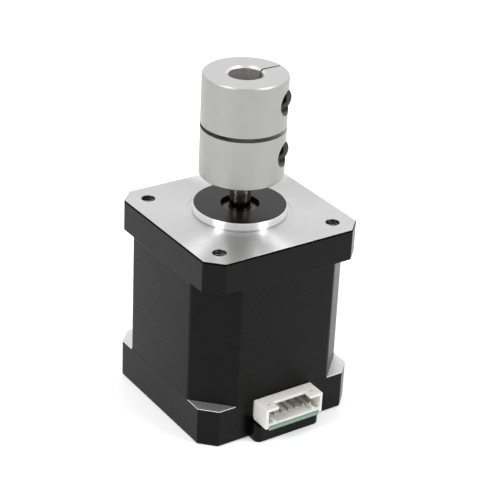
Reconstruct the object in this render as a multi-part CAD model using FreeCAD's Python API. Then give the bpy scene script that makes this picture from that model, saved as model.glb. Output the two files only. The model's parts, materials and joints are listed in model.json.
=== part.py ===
"""Hybrid stepping motor on a 42 mm square frame, with a clamp coupling on its shaft.

Frame: the origin is on the shaft's axis, in the plane of the front mounting face.
+Z runs along the shaft, out of the motor. The connector is on the -Y side.
Lengths are in millimetres and angles in degrees.
"""
import FreeCAD
import Part
import math
import os

Vector = FreeCAD.Vector
Z_AXIS = Vector(0, 0, 1)
CENTRE = Vector(0, 0, 0)

# Motor frame: three stacked blocks, all flush on the four flat sides.
FRAME_WIDTH = 42.0
BODY_LENGTH = 48.0
FRONT_BELL_DEPTH = 7.6
REAR_BELL_DEPTH = 9.7
FRONT_CORNER_CUT = 3.7
REAR_CORNER_CUT = 3.6
STATOR_CORNER_CUT = 8.15
BELL_CORNER_SOFTENING = 0.6
STATOR_CORNER_SOFTENING = 1.4
RIM_BREAK = 0.2
BASE_EDGE_RADIUS = 0.5
CAVITY_RADIUS = 18.5
FRONT_WALL = 3.0
REAR_WALL = 2.4
STATOR_TOP = -FRONT_BELL_DEPTH
STATOR_BASE = REAR_BELL_DEPTH - BODY_LENGTH
STATOR_LENGTH = STATOR_TOP - STATOR_BASE
STATOR_MIDDLE = (STATOR_TOP + STATOR_BASE) / 2

# Mounting face: pilot boss, relief ring around it and four tapped holes.
PILOT_RADIUS = 11.0
PILOT_HEIGHT = 2.0
PILOT_EDGE_BREAK = 0.15
RELIEF_RADIUS = 12.4
RELIEF_DEPTH = 0.12
NOSE_HOLE_RADIUS = 4.6
SCREW_SPACING = 31.0
THREAD_RADIUS = 1.5
THREAD_DEPTH = 4.6
HOLE_MOUTH_BREAK = 0.2

# Long screws that clamp the frame together from the back.
LONG_SCREW_TIP = -4.8
LONG_SCREW_RADIUS = 1.47
LONG_SCREW_CLEARANCE = 1.7
REAR_THREAD_RADIUS = 1.3
REAR_THREAD_CLEARANCE = 0.02
LONG_HEAD_RADIUS = 2.75
LONG_HEAD_HEIGHT = 2.0
LONG_HEAD_EDGE_RADIUS = 0.8
LONG_HEAD_POCKET_RADIUS = 3.0
LONG_HEAD_POCKET_DEPTH = 2.6
CROSS_SLOT_LENGTH = 3.0
CROSS_SLOT_WIDTH = 0.7
CROSS_SLOT_DEPTH = 1.2

# Deep-groove bearings, 5 x 16 x 5, one in each bell.
BEARING_BORE_RADIUS = 2.51
BEARING_OUTER_RADIUS = 8.0
BEARING_WIDTH = 5.0
BEARING_RING_BREAK = 0.25
INNER_SHOULDER_RADIUS = 4.25
OUTER_SHOULDER_RADIUS = 6.25
PITCH_RADIUS = 5.25
BALL_RADIUS = 1.389
BALL_COUNT = 7
RACE_RADIUS = 1.45
CAGE_INNER_RADIUS = 4.8
CAGE_OUTER_RADIUS = 5.7
CAGE_HALF_WIDTH = 1.75
SHIELD_INNER_RADIUS = 4.4
SHIELD_THICKNESS = 0.25
SHIELD_INSET = 0.15
HUB_RADIUS = 9.6
POCKET_CLEARANCE = 0.01
FRONT_BEARING_TOP = 1.0
REAR_BEARING_BASE = -46.0
PRELOAD_GAP = 0.6

# Preload spring: a wavy washer behind the rear bearing.
WASHER_INNER_RADIUS = 5.4
WASHER_OUTER_RADIUS = 7.6
WASHER_THICKNESS = 0.22
WASHER_WAVE_HEIGHT = 0.13
WASHER_WAVES = 3
WASHER_STEPS = 48

# Shaft and rotor.
SHAFT_RADIUS = 2.5
SHAFT_TOP = 22.0
SHAFT_BASE = -45.8
SHAFT_END_BREAK = 0.3
SPACER_RADIUS = 4.0
ROTOR_TEETH = 50
ROTOR_TIP_RADIUS = 12.9
ROTOR_ROOT_RADIUS = 12.2
TOOTH_PITCH = 360.0 / ROTOR_TEETH
TOOTH_SHARE = 0.5
CUP_LENGTH = 13.2
MAGNET_LENGTH = 3.0
MAGNET_RADIUS = 10.5

# Stator: eight wound poles, six teeth on each.
STATOR_BORE_RADIUS = 13.0
YOKE_RADIUS = 17.8
POLE_COUNT = 8
POLE_TEETH = 6
POLE_HALF_WIDTH = 2.2
POLE_SHOE_DEPTH = 0.7
POLE_NECK_RADIUS = 14.5
STATOR_TOOTH_DEPTH = 0.5

# Bobbins (moulded end frames) and coils.
COIL_INNER = 14.7
COIL_OUTER = 16.9
COIL_HALF_WIDTH = 5.3
COIL_HOLE_HALF_WIDTH = 2.55
COIL_OVERHANG = 3.4
COIL_END_RADIUS = 1.8
BOBBIN_FLOOR = 0.8
BOBBIN_HEIGHT = 4.2
BOBBIN_RING_INNER = 17.8
BOBBIN_JOIN = 0.2
BOBBIN_RING_OUTER = 18.3
BOBBIN_FLANGE_INNER = 13.9
BOBBIN_FLANGE_OUTER = 14.5
BOBBIN_FLANGE_HALF_WIDTH = 4.6
TERMINAL_RADIUS_OUT = 16.8
TERMINAL_SIDE = 0.6
TERMINAL_PAD_INNER = 16.3
TERMINAL_PAD_HALF_WIDTH = 0.8
TERMINAL_PAD_HEIGHT = 2.0
TERMINAL_SLOTS = (0, 2, 4, 6)

# Circuit board, connector and the tongue of the rear bell that carries them.
BOARD_TOP = -42.7
BOARD_THICKNESS = 1.0
BOARD_STRIP_HALF_WIDTH = 7.0
BOARD_FRONT = -26.5
BOARD_INNER_RADIUS = 10.2
BOARD_OUTER_RADIUS = 18.2
BOARD_LEDGE_RADIUS = 17.2
BOARD_HOLE_RADIUS = 0.48
TONGUE_HALF_WIDTH = 9.0
TONGUE_FRONT = -24.5
TONGUE_CORNER_RADIUS = 1.6
CONNECTOR_HALF_WIDTH = 7.9
CONNECTOR_FRONT = -26.4
CONNECTOR_TOP = -38.0
CONNECTOR_STEP = -21.1
CONNECTOR_SKIRT_DROP = 0.5
SKIRT_CLEARANCE = 0.05
CONNECTOR_BACK = -18.6
CONNECTOR_NOTCH_BACK = -16.0
CONNECTOR_WALL = 0.7
SOCKET_BACK = -20.6
SOCKET_WINDOW_HALF_WIDTH = 4.45
SOCKET_WINDOW_BACK = -24.0
SIDE_HOLE_RADIUS = 0.45
SIDE_HOLE_X = 6.05
SIDE_HOLE_Y = -24.0
KEY_RIB_WIDTH = 0.8
KEY_RIB_HEIGHT = 0.4
PIN_COUNT = 6
PIN_PITCH = 2.0
PIN_SIDE = 0.5
PIN_FRONT = -25.6
PIN_TAIL_Y = -17.4
PIN_TAIL_LENGTH = 0.9
PIN_BEND_RADIUS = 0.4
PIN_ROW_CLEARANCE = 1.2
SOLDER_RADIUS = 0.85
SOLDER_HEIGHT = 0.6
NOTCH_CLEARANCE = 0.1

# Coupling: a round clamp hub, half for the motor shaft and half for the driven screw.
COUPLING_RADIUS = 9.9
COUPLING_BASE = 9.65
COUPLING_LENGTH = 24.7
COUPLING_EDGE_BREAK = 0.3
MOTOR_BORE_RADIUS = 2.52
SCREW_BORE_RADIUS = 4.0
BORE_MOUTH_BREAK = 0.5
WAIST_SLOT = 1.0
WAIST_LIGAMENT_CHORD = 5.0
SLIT_WIDTH = 0.55
RELIEF_NOTCH_RADIUS = 0.45
CLAMP_SCREW_OFFSET = 6.5
CLAMP_SCREW_HEIGHTS = {"lower": 15.95, "upper": 28.6}
CLAMP_SEAT = 2.4
CLAMP_HEAD_RADIUS = 2.75
CLAMP_HEAD_HEIGHT = 3.0
CLAMP_HEAD_BREAK = 0.3
CLAMP_POCKET_RADIUS = 3.0
CLAMP_CLEARANCE_RADIUS = 1.6
CLAMP_SHANK_RADIUS = 1.47
CLAMP_SHANK_LENGTH = 8.0
CLAMP_KEY_ACROSS_FLATS = 2.5
CLAMP_KEY_DEPTH = 1.6


# ---------------------------------------------------------------- basic solids

def disc(radius, low, high, x=0.0, y=0.0):
    """Upright cylinder from z = low to z = high."""
    return Part.makeCylinder(radius, high - low, Vector(x, y, low))


def ring(outer, inner, low, high):
    """Upright tube."""
    return disc(outer, low, high).cut(disc(inner, low, high))


def block(x_low, x_high, y_low, y_high, z_low, z_high):
    """Box between two corners."""
    return Part.makeBox(x_high - x_low, y_high - y_low, z_high - z_low, Vector(x_low, y_low, z_low))


def turned(outline):
    """Solid of revolution about Z from (radius, height) points."""
    points = [Vector(radius, 0, height) for radius, height in outline]
    wire = Part.makePolygon(points + points[:1])
    return Part.Face(wire).revolve(CENTRE, Z_AXIS, 360)


def washer_with_breaks(outer, inner, low, high, edge_break):
    """Ring whose four rims are chamfered."""
    return turned([
        (inner + edge_break, low), (outer - edge_break, low),
        (outer, low + edge_break), (outer, high - edge_break),
        (outer - edge_break, high), (inner + edge_break, high),
        (inner, high - edge_break), (inner, low + edge_break),
    ])


def rotated(shape, degrees):
    """Copy turned about the Z axis."""
    copy = shape.copy()
    copy.rotate(CENTRE, Z_AXIS, degrees)
    return copy


def around(shape, count, start=0.0):
    """Equally spaced copies about the Z axis."""
    return [rotated(shape, start + 360.0 * i / count) for i in range(count)]


def polar(radius, degrees):
    """Point in the XY plane."""
    return Vector(radius * math.cos(math.radians(degrees)), radius * math.sin(math.radians(degrees)), 0)


def cornered_prism(corner_cut, softening, low, high):
    """Square frame block with its four corners cut off and the cuts' edges rounded."""
    half = FRAME_WIDTH / 2
    near = half - corner_cut
    corners = [(half, near), (near, half), (-near, half), (-half, near),
               (-half, -near), (-near, -half), (near, -half), (half, -near)]
    points = [Vector(x, y, low) for x, y in corners]
    prism = Part.Face(Part.makePolygon(points + points[:1])).extrude(Vector(0, 0, high - low))
    upright = [edge for edge in prism.Edges if abs(edge.BoundBox.ZLength - (high - low)) < 1e-6]
    return prism.makeFillet(softening, upright)


def rim_edges(shape, height):
    """Edges that lie flat at one height."""
    return [edge for edge in shape.Edges
            if abs(edge.BoundBox.ZMin - height) < 1e-6 and abs(edge.BoundBox.ZMax - height) < 1e-6]


def screw_places():
    """The four corners of the screw square."""
    half = SCREW_SPACING / 2
    return [(x, y) for x in (-half, half) for y in (-half, half)]


def write(name, *solids):
    """Save one sub-part; several solids stay separate."""
    shape = solids[0] if len(solids) == 1 else Part.makeCompound(list(solids))
    for solid in shape.Solids:
        if not solid.isValid():
            raise ValueError(name + " is not a valid solid")
    shape.exportStep("parts/" + name + ".step")


# ---------------------------------------------------------------- frame

def front_end_bell():
    """Cast front cover: machined face, pilot boss, bearing seat and tapped corner holes."""
    body = cornered_prism(FRONT_CORNER_CUT, BELL_CORNER_SOFTENING, STATOR_TOP, 0)
    body = body.makeChamfer(RIM_BREAK, rim_edges(body, 0))
    body = body.cut(ring(RELIEF_RADIUS, PILOT_RADIUS - 1, -RELIEF_DEPTH, 1))
    boss = disc(PILOT_RADIUS, -FRONT_WALL, PILOT_HEIGHT)
    boss = boss.makeChamfer(PILOT_EDGE_BREAK, rim_edges(boss, PILOT_HEIGHT))
    body = body.cut(disc(CAVITY_RADIUS, STATOR_TOP - 1, -FRONT_WALL))
    seat_low = FRONT_BEARING_TOP - BEARING_WIDTH
    hub = disc(HUB_RADIUS, seat_low, -FRONT_WALL)
    body = body.fuse([boss, hub]).removeSplitter()
    body = body.cut(disc(BEARING_OUTER_RADIUS + POCKET_CLEARANCE, seat_low - 1, FRONT_BEARING_TOP))
    body = body.cut(disc(NOSE_HOLE_RADIUS, 0, PILOT_HEIGHT + 1))
    for x, y in screw_places():
        body = body.cut(disc(THREAD_RADIUS, -THREAD_DEPTH, 1, x, y))
        body = body.cut(disc(REAR_THREAD_RADIUS, STATOR_TOP - 1, -THREAD_DEPTH, x, y))
        mouth_radius = THREAD_RADIUS + HOLE_MOUTH_BREAK
        mouth_foot = Vector(x, y, -HOLE_MOUTH_BREAK)
        body = body.cut(Part.makeCone(THREAD_RADIUS, mouth_radius, HOLE_MOUTH_BREAK, mouth_foot))
    return body


def tongue():
    """Lip at the foot of the rear bell's -Y side, under the connector."""
    board_base = BOARD_TOP - BOARD_THICKNESS
    lip = block(-TONGUE_HALF_WIDTH, TONGUE_HALF_WIDTH, TONGUE_FRONT, -FRAME_WIDTH / 2 + 1,
                -BODY_LENGTH, board_base)
    front_posts = [edge for edge in lip.Edges
                   if edge.BoundBox.ZLength > 1 and edge.BoundBox.YMax < TONGUE_FRONT + 0.1]
    return lip.makeFillet(TONGUE_CORNER_RADIUS, front_posts)


def rear_end_bell():
    """Cast rear cover: bearing seat, board ledge, connector notch, tongue and screw pockets."""
    body = cornered_prism(REAR_CORNER_CUT, BELL_CORNER_SOFTENING, -BODY_LENGTH, STATOR_BASE)
    body = body.fuse(tongue()).removeSplitter()
    body = body.makeFillet(BASE_EDGE_RADIUS, rim_edges(body, -BODY_LENGTH))
    floor = REAR_WALL - BODY_LENGTH
    board_base = BOARD_TOP - BOARD_THICKNESS
    body = body.cut(disc(CAVITY_RADIUS, board_base, STATOR_BASE + 1))
    body = body.cut(disc(BOARD_LEDGE_RADIUS, floor, board_base))
    hub_top = REAR_BEARING_BASE + BEARING_WIDTH
    body = body.fuse(disc(HUB_RADIUS, floor, hub_top)).removeSplitter()
    pocket_floor = REAR_BEARING_BASE - PRELOAD_GAP
    body = body.cut(disc(BEARING_OUTER_RADIUS + POCKET_CLEARANCE, pocket_floor, hub_top + 1))
    notch_half = CONNECTOR_HALF_WIDTH + NOTCH_CLEARANCE
    body = body.cut(block(-notch_half, notch_half, -FRAME_WIDTH, CONNECTOR_NOTCH_BACK,
                          board_base, STATOR_BASE + 1))
    tails_half = PIN_PITCH * (PIN_COUNT - 1) / 2 + PIN_ROW_CLEARANCE
    body = body.cut(block(-tails_half, tails_half, PIN_TAIL_Y - PIN_ROW_CLEARANCE,
                          PIN_TAIL_Y + PIN_ROW_CLEARANCE, board_base - PIN_ROW_CLEARANCE, board_base))
    for x, y in screw_places():
        body = body.cut(disc(LONG_SCREW_CLEARANCE, -BODY_LENGTH - 1, STATOR_BASE + 1, x, y))
        pocket_top = LONG_HEAD_POCKET_DEPTH - BODY_LENGTH
        body = body.cut(disc(LONG_HEAD_POCKET_RADIUS, -BODY_LENGTH - 1, pocket_top, x, y))
    return body


def through_screws():
    """Four long machine screws with cross-recessed pan heads."""
    seat = LONG_HEAD_POCKET_DEPTH - BODY_LENGTH
    head_base = seat - LONG_HEAD_HEIGHT
    screws = []
    for x, y in screw_places():
        head = disc(LONG_HEAD_RADIUS, head_base, seat, x, y)
        head = head.makeFillet(LONG_HEAD_EDGE_RADIUS, rim_edges(head, head_base))
        head = head.fuse(disc(LONG_SCREW_RADIUS, seat, STATOR_TOP, x, y))
        shank = disc(REAR_THREAD_RADIUS - REAR_THREAD_CLEARANCE, STATOR_TOP, LONG_SCREW_TIP, x, y)
        shank = shank.makeChamfer(RIM_BREAK, rim_edges(shank, LONG_SCREW_TIP))
        long_half = CROSS_SLOT_LENGTH / 2
        short_half = CROSS_SLOT_WIDTH / 2
        recess_top = head_base + CROSS_SLOT_DEPTH
        screw = head.fuse(shank).removeSplitter()
        for half_x, half_y in ((long_half, short_half), (short_half, long_half)):
            slot = block(x - half_x, x + half_x, y - half_y, y + half_y, head_base - 1, recess_top)
            screw = screw.cut(slot)
        screws.append(screw)
    return screws


# ---------------------------------------------------------------- stator

def slot_outline():
    """Winding slot between two poles, on the +X axis, open to the bore."""
    pole_turn = 180.0 / POLE_COUNT
    shoe_half_turn = ((POLE_TEETH - 1) + TOOTH_SHARE) * TOOTH_PITCH / 2
    tip_turn = pole_turn - shoe_half_turn
    yoke_reach = math.sqrt(YOKE_RADIUS ** 2 - POLE_HALF_WIDTH ** 2)

    def pole_side(reach, side):
        along = polar(reach, side * pole_turn)
        return along + polar(POLE_HALF_WIDTH, side * (pole_turn - 90))

    upper = [polar(STATOR_BORE_RADIUS - 1, tip_turn), polar(STATOR_BORE_RADIUS + POLE_SHOE_DEPTH, tip_turn),
             pole_side(POLE_NECK_RADIUS, 1), pole_side(yoke_reach, 1)]
    lower = [Vector(point.x, -point.y, 0) for point in reversed(upper)]
    back = Part.Arc(upper[-1], Vector(YOKE_RADIUS, 0, 0), lower[0]).toShape()
    return Part.Wire([*Part.makePolygon(upper).Edges, back, *Part.makePolygon(lower + upper[:1]).Edges])


def stator_core():
    """Laminated stack: square yoke, eight poles and their teeth."""
    body = cornered_prism(STATOR_CORNER_CUT, STATOR_CORNER_SOFTENING, STATOR_BASE, STATOR_TOP)
    body = body.cut(disc(STATOR_BORE_RADIUS, STATOR_BASE - 1, STATOR_TOP + 1))
    slot = Part.Face(slot_outline()).extrude(Vector(0, 0, STATOR_LENGTH + 2))
    slot.translate(Vector(0, 0, STATOR_BASE - 1))
    cutters = around(slot, POLE_COUNT, 180.0 / POLE_COUNT)
    gap_width = (1 - TOOTH_SHARE) * TOOTH_PITCH * math.radians(STATOR_BORE_RADIUS)
    gap = block(STATOR_BORE_RADIUS - 1, STATOR_BORE_RADIUS + STATOR_TOOTH_DEPTH,
                -gap_width / 2, gap_width / 2, STATOR_BASE - 1, STATOR_TOP + 1)
    for pole in range(POLE_COUNT):
        for i in range(POLE_TEETH - 1):
            turn = pole * 360.0 / POLE_COUNT + (i - (POLE_TEETH - 2) / 2) * TOOTH_PITCH
            cutters.append(rotated(gap, turn))
    for x, y in screw_places():
        cutters.append(disc(LONG_SCREW_CLEARANCE, STATOR_BASE - 1, STATOR_TOP + 1, x, y))
    return body.cut(cutters)


def bobbin(face, outward):
    """Moulded end frame on one end of the stack: outer wall, floors and inner flanges."""
    def layer(near, far):
        ends = (face + outward * near, face + outward * far)
        return min(ends), max(ends)

    floor_low, floor_high = layer(0, BOBBIN_FLOOR)
    wall_low, wall_high = layer(0, BOBBIN_HEIGHT)
    frame = ring(BOBBIN_RING_OUTER, BOBBIN_RING_INNER, wall_low, wall_high)
    floor = block(BOBBIN_FLANGE_INNER, BOBBIN_RING_INNER + BOBBIN_JOIN, -POLE_HALF_WIDTH, POLE_HALF_WIDTH,
                  floor_low, floor_high)
    flange = block(BOBBIN_FLANGE_INNER, BOBBIN_FLANGE_OUTER, -BOBBIN_FLANGE_HALF_WIDTH,
                   BOBBIN_FLANGE_HALF_WIDTH, wall_low, wall_high)
    return frame.fuse(around(floor.fuse(flange), POLE_COUNT)).removeSplitter()


def terminal_turns():
    """Directions of the slots that hold a winding terminal."""
    return [(slot + 0.5) * 360.0 / POLE_COUNT for slot in TERMINAL_SLOTS]


def rear_bobbin():
    """Rear end frame with a pad for each winding terminal."""
    frame = bobbin(STATOR_BASE, -1)
    pad = block(TERMINAL_PAD_INNER, BOBBIN_RING_INNER + BOBBIN_JOIN,
                -TERMINAL_PAD_HALF_WIDTH, TERMINAL_PAD_HALF_WIDTH,
                STATOR_BASE - TERMINAL_PAD_HEIGHT, STATOR_BASE)
    for turn in terminal_turns():
        frame = frame.fuse(rotated(pad, turn))
    pins_half = PIN_PITCH * (PIN_COUNT - 1) / 2 + PIN_ROW_CLEARANCE
    pin_gap = block(-pins_half, pins_half, CONNECTOR_BACK, PIN_TAIL_Y + PIN_SIDE,
                    STATOR_BASE - BOBBIN_HEIGHT - 1, STATOR_BASE - PIN_ROW_CLEARANCE)
    return frame.removeSplitter().cut([pin_gap, *terminal_posts()])


def terminal_posts():
    """Square posts that carry the winding ends down to the board."""
    half = TERMINAL_SIDE / 2
    post = block(TERMINAL_RADIUS_OUT - half, TERMINAL_RADIUS_OUT + half, -half, half,
                 BOARD_TOP - BOARD_THICKNESS - PIN_TAIL_LENGTH, STATOR_BASE - 0.3)
    return [rotated(post, turn) for turn in terminal_turns()]


def phase_coils(first_pole):
    """Four coils of one phase, on every other pole."""
    low = STATOR_BASE - COIL_OVERHANG
    high = STATOR_TOP + COIL_OVERHANG
    coil = block(COIL_INNER, COIL_OUTER, -COIL_HALF_WIDTH, COIL_HALF_WIDTH, low, high)
    outer_corners = [edge for edge in coil.Edges if edge.BoundBox.XLength > 1]
    coil = coil.makeFillet(COIL_END_RADIUS, outer_corners)
    hole = block(COIL_INNER - 1, COIL_OUTER + 1, -COIL_HOLE_HALF_WIDTH, COIL_HOLE_HALF_WIDTH,
                 STATOR_BASE - BOBBIN_FLOOR, STATOR_TOP + BOBBIN_FLOOR)
    return around(coil.cut(hole), POLE_COUNT // 2, first_pole * 360.0 / POLE_COUNT)


# ---------------------------------------------------------------- bearings and rotor

def bearing_pieces(low):
    """Rings, balls, cage and shields of one bearing whose lower face is at z = low."""
    high = low + BEARING_WIDTH
    middle = low + BEARING_WIDTH / 2
    race = Part.makeTorus(PITCH_RADIUS, RACE_RADIUS, Vector(0, 0, middle))
    inner = washer_with_breaks(INNER_SHOULDER_RADIUS, BEARING_BORE_RADIUS, low, high, BEARING_RING_BREAK)
    outer = washer_with_breaks(BEARING_OUTER_RADIUS, OUTER_SHOULDER_RADIUS, low, high, BEARING_RING_BREAK)
    ball = Part.makeSphere(BALL_RADIUS, Vector(PITCH_RADIUS, 0, middle))
    window = Part.makeCylinder(RACE_RADIUS, 2, Vector(PITCH_RADIUS - 1, 0, middle), Vector(1, 0, 0))
    cage = ring(CAGE_OUTER_RADIUS, CAGE_INNER_RADIUS, middle - CAGE_HALF_WIDTH, middle + CAGE_HALF_WIDTH)
    shields = []
    for shield_low in (low + SHIELD_INSET, high - SHIELD_INSET - SHIELD_THICKNESS):
        shield_high = shield_low + SHIELD_THICKNESS
        shields.append(ring(OUTER_SHOULDER_RADIUS, SHIELD_INNER_RADIUS, shield_low, shield_high))
    return {
        "outer_ring": [outer.cut(race)],
        "inner_ring": [inner.cut(race)],
        "balls": around(ball, BALL_COUNT),
        "cage": [cage.cut(around(window, BALL_COUNT))],
        "shields": shields,
    }


def wave_washer():
    """Thin spring ring that rises and falls in three waves."""
    middle = REAR_BEARING_BASE - PRELOAD_GAP / 2

    def section(step):
        turn = 360.0 * step / WASHER_STEPS
        rise = middle + WASHER_WAVE_HEIGHT * math.cos(math.radians(WASHER_WAVES * turn))
        lift = WASHER_THICKNESS / 2
        corners = [(WASHER_INNER_RADIUS, -lift), (WASHER_OUTER_RADIUS, -lift),
                   (WASHER_OUTER_RADIUS, lift), (WASHER_INNER_RADIUS, lift)]
        return [polar(radius, turn) + Vector(0, 0, rise + offset) for radius, offset in corners]

    faces = []
    for step in range(WASHER_STEPS):
        here = section(step)
        there = section(step + 1 if step + 1 < WASHER_STEPS else 0)
        for i in range(4):
            j = (i + 1) % 4
            for corners in ((here[i], here[j], there[j]), (here[i], there[j], there[i])):
                faces.append(Part.Face(Part.makePolygon([*corners, corners[0]])))
    return Part.Solid(Part.Shell(faces))


def shaft():
    """Ground steel shaft, chamfered at both ends."""
    body = disc(SHAFT_RADIUS, SHAFT_BASE, SHAFT_TOP)
    return body.makeChamfer(SHAFT_END_BREAK, rim_edges(body, SHAFT_BASE) + rim_edges(body, SHAFT_TOP))


def toothed_cup(low, first_tooth):
    """Rotor half: a stack with fifty teeth, bored for the shaft."""
    half_tooth = TOOTH_SHARE * TOOTH_PITCH / 2
    edges = []
    for i in range(ROTOR_TEETH):
        centre = first_tooth + i * TOOTH_PITCH
        rise = polar(ROTOR_ROOT_RADIUS, centre - half_tooth)
        tip_start = polar(ROTOR_TIP_RADIUS, centre - half_tooth)
        tip_end = polar(ROTOR_TIP_RADIUS, centre + half_tooth)
        fall = polar(ROTOR_ROOT_RADIUS, centre + half_tooth)
        root = polar(ROTOR_ROOT_RADIUS, centre + TOOTH_PITCH / 2)
        next_rise = polar(ROTOR_ROOT_RADIUS, centre + TOOTH_PITCH - half_tooth)
        edges.append(Part.LineSegment(rise, tip_start).toShape())
        edges.append(Part.Arc(tip_start, polar(ROTOR_TIP_RADIUS, centre), tip_end).toShape())
        edges.append(Part.LineSegment(tip_end, fall).toShape())
        edges.append(Part.Arc(fall, root, next_rise).toShape())
    cup = Part.Face(Part.Wire(edges)).extrude(Vector(0, 0, CUP_LENGTH))
    cup.translate(Vector(0, 0, low))
    return cup.cut(disc(BEARING_BORE_RADIUS, low - 1, low + CUP_LENGTH + 1))


# ---------------------------------------------------------------- board and connector

def pin_places():
    """The pins' positions along X."""
    return [(i - (PIN_COUNT - 1) / 2) * PIN_PITCH for i in range(PIN_COUNT)]


def circuit_board():
    """Ring board under the rear coils, with a strip out to the connector."""
    base = BOARD_TOP - BOARD_THICKNESS
    board = disc(BOARD_OUTER_RADIUS, base, BOARD_TOP)
    board = board.fuse(block(-BOARD_STRIP_HALF_WIDTH, BOARD_STRIP_HALF_WIDTH, BOARD_FRONT, PIN_TAIL_Y,
                             base, BOARD_TOP)).removeSplitter()
    holes = [disc(BOARD_INNER_RADIUS, base - 1, BOARD_TOP + 1)]
    for x in pin_places():
        holes.append(disc(BOARD_HOLE_RADIUS, base - 1, BOARD_TOP + 1, x, PIN_TAIL_Y))
    for turn in terminal_turns():
        place = polar(TERMINAL_RADIUS_OUT, turn)
        holes.append(disc(BOARD_HOLE_RADIUS, base - 1, BOARD_TOP + 1, place.x, place.y))
    return board.cut(holes)


def socket_heights():
    """Floor and ceiling of the plug's socket."""
    return BOARD_TOP + CONNECTOR_WALL, CONNECTOR_TOP - CONNECTOR_WALL


def connector_housing():
    """White side-entry header: socket open to -Y, window in its top, ribs on its floor."""
    floor, ceiling = socket_heights()
    body = block(-CONNECTOR_HALF_WIDTH, CONNECTOR_HALF_WIDTH, CONNECTOR_FRONT, CONNECTOR_BACK,
                 BOARD_TOP, STATOR_BASE)
    body = body.fuse(block(-CONNECTOR_HALF_WIDTH, CONNECTOR_HALF_WIDTH, CONNECTOR_FRONT, CONNECTOR_STEP,
                           BOARD_TOP - CONNECTOR_SKIRT_DROP, CONNECTOR_TOP))
    skirt_gap = BOARD_STRIP_HALF_WIDTH + SKIRT_CLEARANCE
    body = body.cut(block(-skirt_gap, skirt_gap, CONNECTOR_FRONT - 1, CONNECTOR_STEP + 1,
                          BOARD_TOP - CONNECTOR_SKIRT_DROP, BOARD_TOP))
    inside = CONNECTOR_HALF_WIDTH - CONNECTOR_WALL
    middle = (floor + ceiling) / 2
    body = body.cut(block(-inside, inside, CONNECTOR_FRONT - 1, SOCKET_BACK, floor, ceiling))
    body = body.cut(block(-SOCKET_WINDOW_HALF_WIDTH, SOCKET_WINDOW_HALF_WIDTH, CONNECTOR_FRONT - 1,
                          SOCKET_WINDOW_BACK, middle, CONNECTOR_TOP + 1))
    for side in (-1, 1):
        body = body.cut(disc(SIDE_HOLE_RADIUS, middle, CONNECTOR_TOP + 1,
                             side * SIDE_HOLE_X, SIDE_HOLE_Y))
        rib_middle = side * (inside - 2 * KEY_RIB_WIDTH)
        body = body.fuse(block(rib_middle - KEY_RIB_WIDTH / 2, rib_middle + KEY_RIB_WIDTH / 2,
                               CONNECTOR_FRONT, SOCKET_BACK, floor, floor + KEY_RIB_HEIGHT))
    body = body.removeSplitter()
    half = PIN_SIDE / 2
    for x in pin_places():
        body = body.cut(block(x - half, x + half, SOCKET_BACK - 1, CONNECTOR_BACK + 1,
                              middle - half, middle + half))
    return body


def connector_pins():
    """Square pins, level in the socket and bent down through the board behind it."""
    floor, ceiling = socket_heights()
    middle = (floor + ceiling) / 2
    half = PIN_SIDE / 2
    tail_end = BOARD_TOP - BOARD_THICKNESS - PIN_TAIL_LENGTH
    pins = []
    for x in pin_places():
        level = block(x - half, x + half, PIN_FRONT, PIN_TAIL_Y + half, middle - half, middle + half)
        tail = block(x - half, x + half, PIN_TAIL_Y - half, PIN_TAIL_Y + half, tail_end, middle + half)
        pin = level.fuse(tail).removeSplitter()
        outer_bend = [edge for edge in pin.Edges
                      if edge.BoundBox.YMin > PIN_TAIL_Y and edge.BoundBox.ZMin > middle
                      and edge.BoundBox.XLength > PIN_SIDE / 2]
        pins.append(pin.makeFillet(PIN_BEND_RADIUS, outer_bend))
    return pins


def solder_joints():
    """Solder cones on the underside of the board, one round each pin."""
    base = BOARD_TOP - BOARD_THICKNESS
    pins = connector_pins()
    joints = []
    for x, pin in zip(pin_places(), pins):
        cone = Part.makeCone(BOARD_HOLE_RADIUS, SOLDER_RADIUS, SOLDER_HEIGHT,
                             Vector(x, PIN_TAIL_Y, base - SOLDER_HEIGHT))
        joints.append(cone.cut(pin))
    return joints


# ---------------------------------------------------------------- coupling

def side_disc(radius, from_y, to_y, height):
    """Cylinder parallel to Y at the clamp screws' offset."""
    start = Vector(CLAMP_SCREW_OFFSET, from_y, height)
    return Part.makeCylinder(radius, to_y - from_y, start, Vector(0, 1, 0))


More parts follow.
